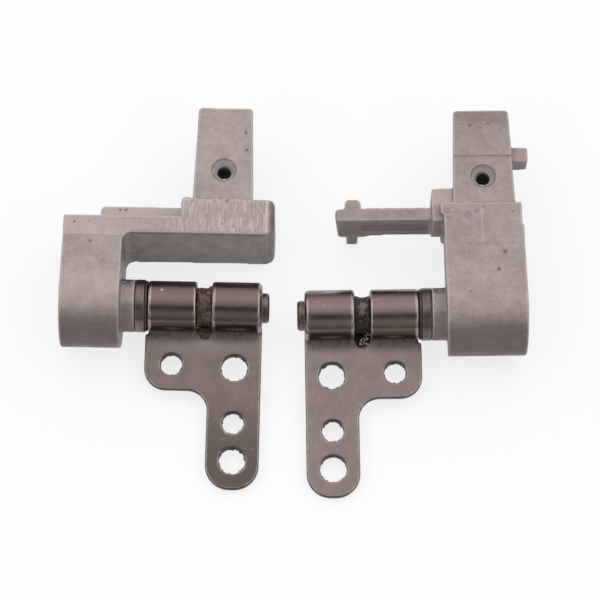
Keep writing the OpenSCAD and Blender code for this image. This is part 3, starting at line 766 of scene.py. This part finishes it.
def leaf_material(side, seed):
    """Satin nickel with oily curls, dark sheared edges and dirt along the seam, and painted light
    and shade on curls, flat, edges and holes.
    """
    metal = Metal(f"plated_sheet_{side}", side, seed, *LEAF_TONES[side], tilt=LEAF_TILT,
                  edge_width=0.1)
    tree = metal.tree
    satin = noise_at(tree, stretched(tree, metal.moved, (1.0, 0.12, 0.12)), 0.22, 3)
    metal.tint(ramp(tree, satin, 0.35, 0.75), 0.05, NICKEL_PALE_AND_LIT)
    metal.tint(metal.grain["Stains"], 0.22, STAIN_AND_SHADE)
    metal.raise_by(satin, 0.001)
    # Painted shade on the left leaf, growing towards its leg
    if side == "left":
        metal.tint(metal.span("Y", -8.0, -20.0), 0.85, LEG_SHADE)

    # The curls darken to the front with oil and painted shade, and get painted light where they
    # turn under
    rolled = metal.span("Z", LEAF_TOP + 0.1, LEAF_TOP + 0.7)
    metal.tint(rolled, 0.85, CURL_TONES[side])
    oil_and_shade = times(tree, rolled, metal.span("Y", -1.0, -2.0), metal.span("Z", 2.15, 1.6))
    metal.tint(oil_and_shade, 0.8, GRIME_AND_SHADE)
    under = times(tree, rolled, metal.span("Z", -0.9, -1.4))
    metal.tint(under, 0.85, CURL_UNDER_PAINTED_LIGHT)

    # The flat is duller than the curls, and has painted light near them
    flat = metal.span("Z", LEAF_TOP + 0.5, LEAF_TOP + 0.2)
    metal.dull = times(tree, flat, metal.span("Y", -2.4, -2.7))
    metal.tint(times(tree, metal.dull, metal.span("Y", -6.5, -3.2)), 0.3, NICKEL_PALE_AND_LIT)
    metal.tint(metal.grain["Scratches"], 0.2, NICKEL_PALE_AND_LIT)
    # A painted highlight, with rubbed wear, in a line at each curl's rim
    for rim in CURL_RIMS:
        line = metal.box((rim - RIM_HALF, -3.3, -0.8), (rim + RIM_HALF, 2.6, 3.6))
        metal.tint(times(tree, line, metal.patches(0.3, 0.5)), 0.5, NICKEL_PALE_AND_LIT)
    metal.tint(metal.grain["Pits"], 0.4, PIT)
    metal.raise_by(metal.grain["Pits"], -0.01)
    # Painted highlight along the outer edges, with wear
    metal.tint(metal.marks["Wear And Highlight"], 0.5, NICKEL_PALE_AND_LIT)

    # Painted shade on the sheared walls, which are bare steel, on the back of each hole's rim and
    # on the curls' ends
    level = calc(tree, "ABSOLUTE", metal.facing("Z"))
    metal.tint(times(tree, flat, ramp(tree, level, 0.93, 0.72)), 0.95, SHEARED_EDGE_SHADE)
    for x, y, radius in LEAF_HOLES:
        close = ramp(tree, metal.from_line(x, y), radius + 0.36, radius + 0.2)
        behind = metal.span("Y", y + 0.35 * radius, y + 0.9 * radius)
        metal.tint(times(tree, flat, close, behind), 0.75, HOLE_BACK_SHADE)
    metal.tint(times(tree, metal.end_faces(0.8, 0.95), rolled), 0.85, CURL_END_SHADE)

    # A brown stain in front of the seam, and specks of dirt along it
    below = metal.span("Z", -1.2, -1.7)
    stained = ramp(tree, noise_at(tree, metal.moved, 0.9, 5, 0.7), 0.47, 0.62)
    metal.tint(times(tree, metal.span("Y", -4.2, -3.0), below, stained), 0.45, OIL_BROWN)
    specks = ramp(tree, noise_at(tree, metal.moved, 0.28, 4, 0.75), 0.44, 0.6)
    reach = ramp(tree, noise_at(tree, metal.moved, 1.6, 3), 0.3, 0.7, 0.15, 0.42)
    off = calc(tree, "ABSOLUTE", calc(tree, "SUBTRACT", metal.across["Y"], SEAM_BACK))
    near = ramp(tree, calc(tree, "DIVIDE", off, reach), 1.0, 0.2)
    seam = times(tree, near, below, specks)
    metal.tint(seam, 0.75, SEAM_DIRT)
    metal.raise_by(seam, 0.02)
    # Painted shade in the inner corners
    metal.tint(metal.marks["Corners"], 0.2, LEAF_CORNER_SHADE)
    return metal.finish(1.0, 0.25, spread=0.04, bump=0.25)


plated = {}
for side, seed in (("left", 17.0), ("right", 23.0)):
    leaf = frame["nodes"][f"{side}_leaf"]
    plated[side] = leaf_material(side, seed)
    dress(leaf, plated[side])
    soften_edges(leaf, 0.13 * MM, 8)


# Burrs in the screw holes.
# The punch left small uneven teeth low down in each hole, and roughened the front of its top rim.
# Each row of teeth: its lowest and highest height, its teeth's length and if it's in front only.
BURR_ROWS = ((-3.02, -2.74, 0.16, False), (-2.58, -2.34, 0.24, True))
BURR_STEPS = 80
# How deep in the wall the root of a row is, and its tip where it has no teeth; how far it stands
# out between its teeth; and the heights of the tip above the row's lowest point
BURR_DEPTH = 0.16
BURR_SUNK = 0.08
BURR_LEAST = 0.01
BURR_TIP = (0.06, 0.13)
SEED_STEP = 2.3


def tooth_length(way, seed):
    """The share of its full length that a tooth has in one direction from the hole's middle."""
    wild = noise.noise(way * 2.2 + Vector((seed, 0, 0)))
    wild += 0.7 * noise.noise(way * 7 + Vector((0, seed, 0)))
    return max(0, min(0.5, wild)) * 2


lay = Matrix.Rotation(LEAF_TILT, 4, "X")
for side, seed in (("left", 4.0), ("right", 14.0)):
    points, faces = [], []
    for x, y, radius in LEAF_HOLES:
        for low, high, length, in_front in BURR_ROWS:
            seed += SEED_STEP
            start = len(points)
            for i in range(BURR_STEPS):
                angle = 2 * math.pi * i / BURR_STEPS
                way = Vector((math.cos(angle), math.sin(angle), 0))
                share = max(0, -way.y) ** 0.5 if in_front else 1
                stands_out = BURR_SUNK + BURR_LEAST + length * tooth_length(way, seed)
                root, tip = radius + BURR_DEPTH, radius + BURR_SUNK - stands_out * share
                for far, height in ((root, low), (tip, low + BURR_TIP[0]),
                                    (tip, low + BURR_TIP[1]), (root, high)):
                    points.append(lay @ Vector((x + way.x * far, y + way.y * far, height)))
            for i in range(BURR_STEPS):
                a, b = start + 4 * i, start + 4 * ((i + 1) % BURR_STEPS)
                faces += [(a + k, a + (k + 1) % 4, b + (k + 1) % 4, b + k) for k in range(4)]
    add_piece(f"{side}_hole_burrs", side, points, faces, "base_leaves", plated[side],
              smooth=False)


# Old grease.
# Grease has worked out of the curls into the slots: brown with golden specks on the left hinge,
# dark grey on the right one. Crumbs of it lie along the line where the curls meet the flat.
def grease_material(name, side, seed, dark, middle, light, share, gloss, bare=()):
    """Lumpy grease in three tones, with that share of the light one and single bare spots."""
    metal = Metal(name, side, seed, middle, dark)
    tree = metal.tree
    flecks = noise_at(tree, metal.moved, 0.55, 6, 0.8, 0.4)
    if bare:
        metal.tint(metal.spots(bare), 0.8, light)
    metal.tint(ramp(tree, flecks, 0.52, 0.62), share, light)
    metal.tint(ramp(tree, flecks, 0.46, 0.38), 0.8, dark)
    if side == "right":
        metal.tint(metal.span("Z", 1.8, 0.6), 0.7, dark)
    metal.raise_by(flecks, 0.06)
    return metal.finish(0.0, 0.38, spread=0.1, bump=0.7, gloss=gloss)


# On the right the pin shows through at the top, as two pale spots
BARE_PIN = ((8.7, 0.3, 2.3, 0.6), (8.9, -0.5, 2.2, 0.4))
greases = {
    "left": grease_material("brown_grease", "left", 31.0, srgb(50, 35, 24), srgb(88, 66, 48),
                            srgb(146, 120, 88), share=0.6, gloss=0.5),
    "right": grease_material("grey_grease", "right", 33.0, srgb(38, 27, 24), srgb(66, 54, 50),
                             srgb(124, 112, 107), share=0.5, gloss=0.2, bare=BARE_PIN),
}
SLOT = (7.84, 9.66)
PIN_RADIUS = 2.2
# How far a sleeve's inside is in the pin, and its outside at least off it
SLEEVE_SUNK = 0.04
SLEEVE_OFF = 0.02
STEPS_ALONG = 26
STEPS_AROUND = 90
# Each sleeve: its arc in degrees from straight up to the front, its thickness and a seed
SLEEVES = {"left": (-78, 128, 0.62, 2.0), "right": (-78, 122, 0.4, 5.0)}

for side, (first, last, thickness, seed) in SLEEVES.items():
    points = []
    for k in range(STEPS_AROUND + 1):
        turn = k / STEPS_AROUND
        angle = math.radians(first + (last - first) * turn)
        fade = min(1, 12 * turn, 12 * (1 - turn))
        outer, inner = [], []
        for i in range(STEPS_ALONG + 1):
            x = SLOT[0] + (SLOT[1] - SLOT[0]) * i / STEPS_ALONG
            spot = Vector((x, -math.sin(angle), math.cos(angle))) * 1.6 + Vector((seed, 0, 0))
            lumps = 0.55 + 0.9 * noise.noise(spot) + 0.5 * noise.noise(spot * 2.7)
            near_curls = 0.35 + 0.65 * abs(2 * i / STEPS_ALONG - 1) ** 2
            thick = thickness * max(0.08, min(1, lumps)) * near_curls * fade
            radius, core = PIN_RADIUS + SLEEVE_OFF + thick, PIN_RADIUS - SLEEVE_SUNK
            outer.append((x, -radius * math.sin(angle), radius * math.cos(angle)))
            inner.append((x, -core * math.sin(angle), core * math.cos(angle)))
        points += outer + inner[::-1]
    add_piece(f"{side}_slot_grease", side, points,
              tube_faces(STEPS_AROUND + 1, 2 * (STEPS_ALONG + 1)), "base_leaves", greases[side])


def lump(points, faces, middle, size, seed):
    """Adds one uneven crumb to a mesh's points and faces."""
    work = bmesh.new()
    bmesh.ops.create_icosphere(work, subdivisions=2, radius=1)
    start = len(points)
    for vertex in work.verts:
        bulge = 1 + 0.6 * noise.noise(vertex.co * 1.4 + Vector((seed, seed * 0.3, 0)))
        points.append(Vector(middle) + Vector(vertex.co[i] * size[i] * bulge for i in range(3)))
    faces += [tuple(start + vertex.index for vertex in face.verts) for face in work.faces]
    work.free()


# The round-ended notch in front of the slot, filled by rows of lumps.
# Each row: its place to the back and its height, half its width and how many lumps it has
NOTCH_MIDDLE = 8.75
NOTCH_ROWS = ((-1.5, -2.25, 0.6, 3), (-2.0, -2.4, 0.6, 3), (-2.5, -2.5, 0.55, 3),
              (-2.95, -2.7, 0.28, 2), (-3.35, -2.9, 0.22, 2))
NOTCH_LUMP = (0.42, 0.42, 0.32)
LUMP_SEED_STEP = 3.1
for side, seed in (("left", 1.0), ("right", 20.0)):
    points, faces = [], []
    for y, z, half, count in NOTCH_ROWS:
        for i in range(count):
            x = NOTCH_MIDDLE + half * (2 * i / (count - 1) - 1)
            seed += LUMP_SEED_STEP
            lump(points, faces, (x, y, z), NOTCH_LUMP, seed)
    add_piece(f"{side}_notch_grease", side, points, faces, "base_leaves", greases[side])

# Crumbs along the seam: how many are tried, where they lie along the pin, their place to the back
# as a middle and a spread, their sizes, how much they crowd together, and the heights allowed
CRUMBS = 90
CRUMBS_ALONG = (1.25, 16.0)
CRUMBS_BACK = (-3.05, 0.22)
CRUMB_SIZE = (0.025, 0.065)
CRUMB_CROWDING = (-0.5, 0.2)
CRUMB_LOWEST, CRUMB_HIGHEST = -3.4, -1.4
DROP_HEIGHT = 6
for side, seed in (("left", 71), ("right", 72)):
    draw = random.Random(seed)
    place = hinge_place(side)
    leaf_mesh = frame["nodes"][f"{side}_leaf"].data
    surface = BVHTree.FromPolygons([vertex.co for vertex in leaf_mesh.vertices],
                                   [tuple(face.vertices) for face in leaf_mesh.polygons])
    points, faces = [], []
    for i in range(CRUMBS):
        x = draw.uniform(*CRUMBS_ALONG)
        y = draw.gauss(*CRUMBS_BACK)
        size = draw.uniform(*CRUMB_SIZE)
        crowd = noise.noise(Vector((x * 0.5, seed, 0)))
        if crowd < draw.uniform(*CRUMB_CROWDING):
            continue
        above = place @ (Vector((x, y, DROP_HEIGHT)) * MM)
        hit = surface.ray_cast(above, Vector((0, 0, -1)))[0]
        if hit is None:
            continue
        spot = place.inverted() @ hit / MM
        if CRUMB_LOWEST < spot.z < CRUMB_HIGHEST:
            lump(points, faces, spot, (size * 1.4, size, size * 0.6), i)
    add_piece(f"{side}_seam_dirt", side, points, faces, "base_leaves", greases[side])

# Steel swarf.
# A few curled shavings are caught in the grease at the front of the right hinge's slot; their
# near-white colour is a painted glint. Their middles rise to the back by a slope from a point given
# as its place and its height.
SHAVINGS = 20
SHAVING_STEPS = 12
SHAVINGS_ALONG = (7.95, 9.0)
SHAVINGS_BACK = (-3.3, -1.7)
SHAVINGS_POINT = (-1.8, -1.3)
SHAVINGS_SLOPE = 0.45
SHAVING_LEAN = (-0.7, 0.7)
SHAVING_RADIUS = (0.13, 0.27)
SHAVING_WIDTH = (0.08, 0.15)
SHAVING_SWEEP = (2, 4.5)
SHAVING_THICKNESS = 0.03
SHAVING_RISE = 0.02

swarf_metal = Metal("swarf_painted_glint", "right", 51.0, srgb(252, 250, 248), srgb(232, 227, 224))
swarf_metal.raise_by(swarf_metal.grain["Grain"], 0.002)
swarf_painted_glint = swarf_metal.finish(0.15, 0.25)
draw = random.Random(9)
points, faces = [], []
for _ in range(SHAVINGS):
    middle = Vector((draw.uniform(*SHAVINGS_ALONG), draw.uniform(*SHAVINGS_BACK), 0))
    middle.z = SHAVINGS_POINT[1] + SHAVINGS_SLOPE * (middle.y - SHAVINGS_POINT[0])
    turn = Matrix.Rotation(draw.uniform(0, math.tau), 3, "Z")
    turn = turn @ Matrix.Rotation(draw.uniform(*SHAVING_LEAN), 3, "X")
    outer = draw.uniform(*SHAVING_RADIUS)
    width = draw.uniform(*SHAVING_WIDTH)
    sweep = draw.uniform(*SHAVING_SWEEP)
    inner = outer - SHAVING_THICKNESS
    start = len(points)
    for i in range(SHAVING_STEPS + 1):
        angle = sweep * i / SHAVING_STEPS
        climb = SHAVING_RISE * i / SHAVING_STEPS
        for radius, rise in ((outer, 0), (outer, width), (inner, width), (inner, 0)):
            points.append(middle + turn @ Vector((radius * math.cos(angle), rise + climb,
                                                  radius * math.sin(angle))))
    faces += tube_faces(SHAVING_STEPS + 1, 4, start)
add_piece("right_slot_swarf", "right", points, faces, "base_leaves", swarf_painted_glint)
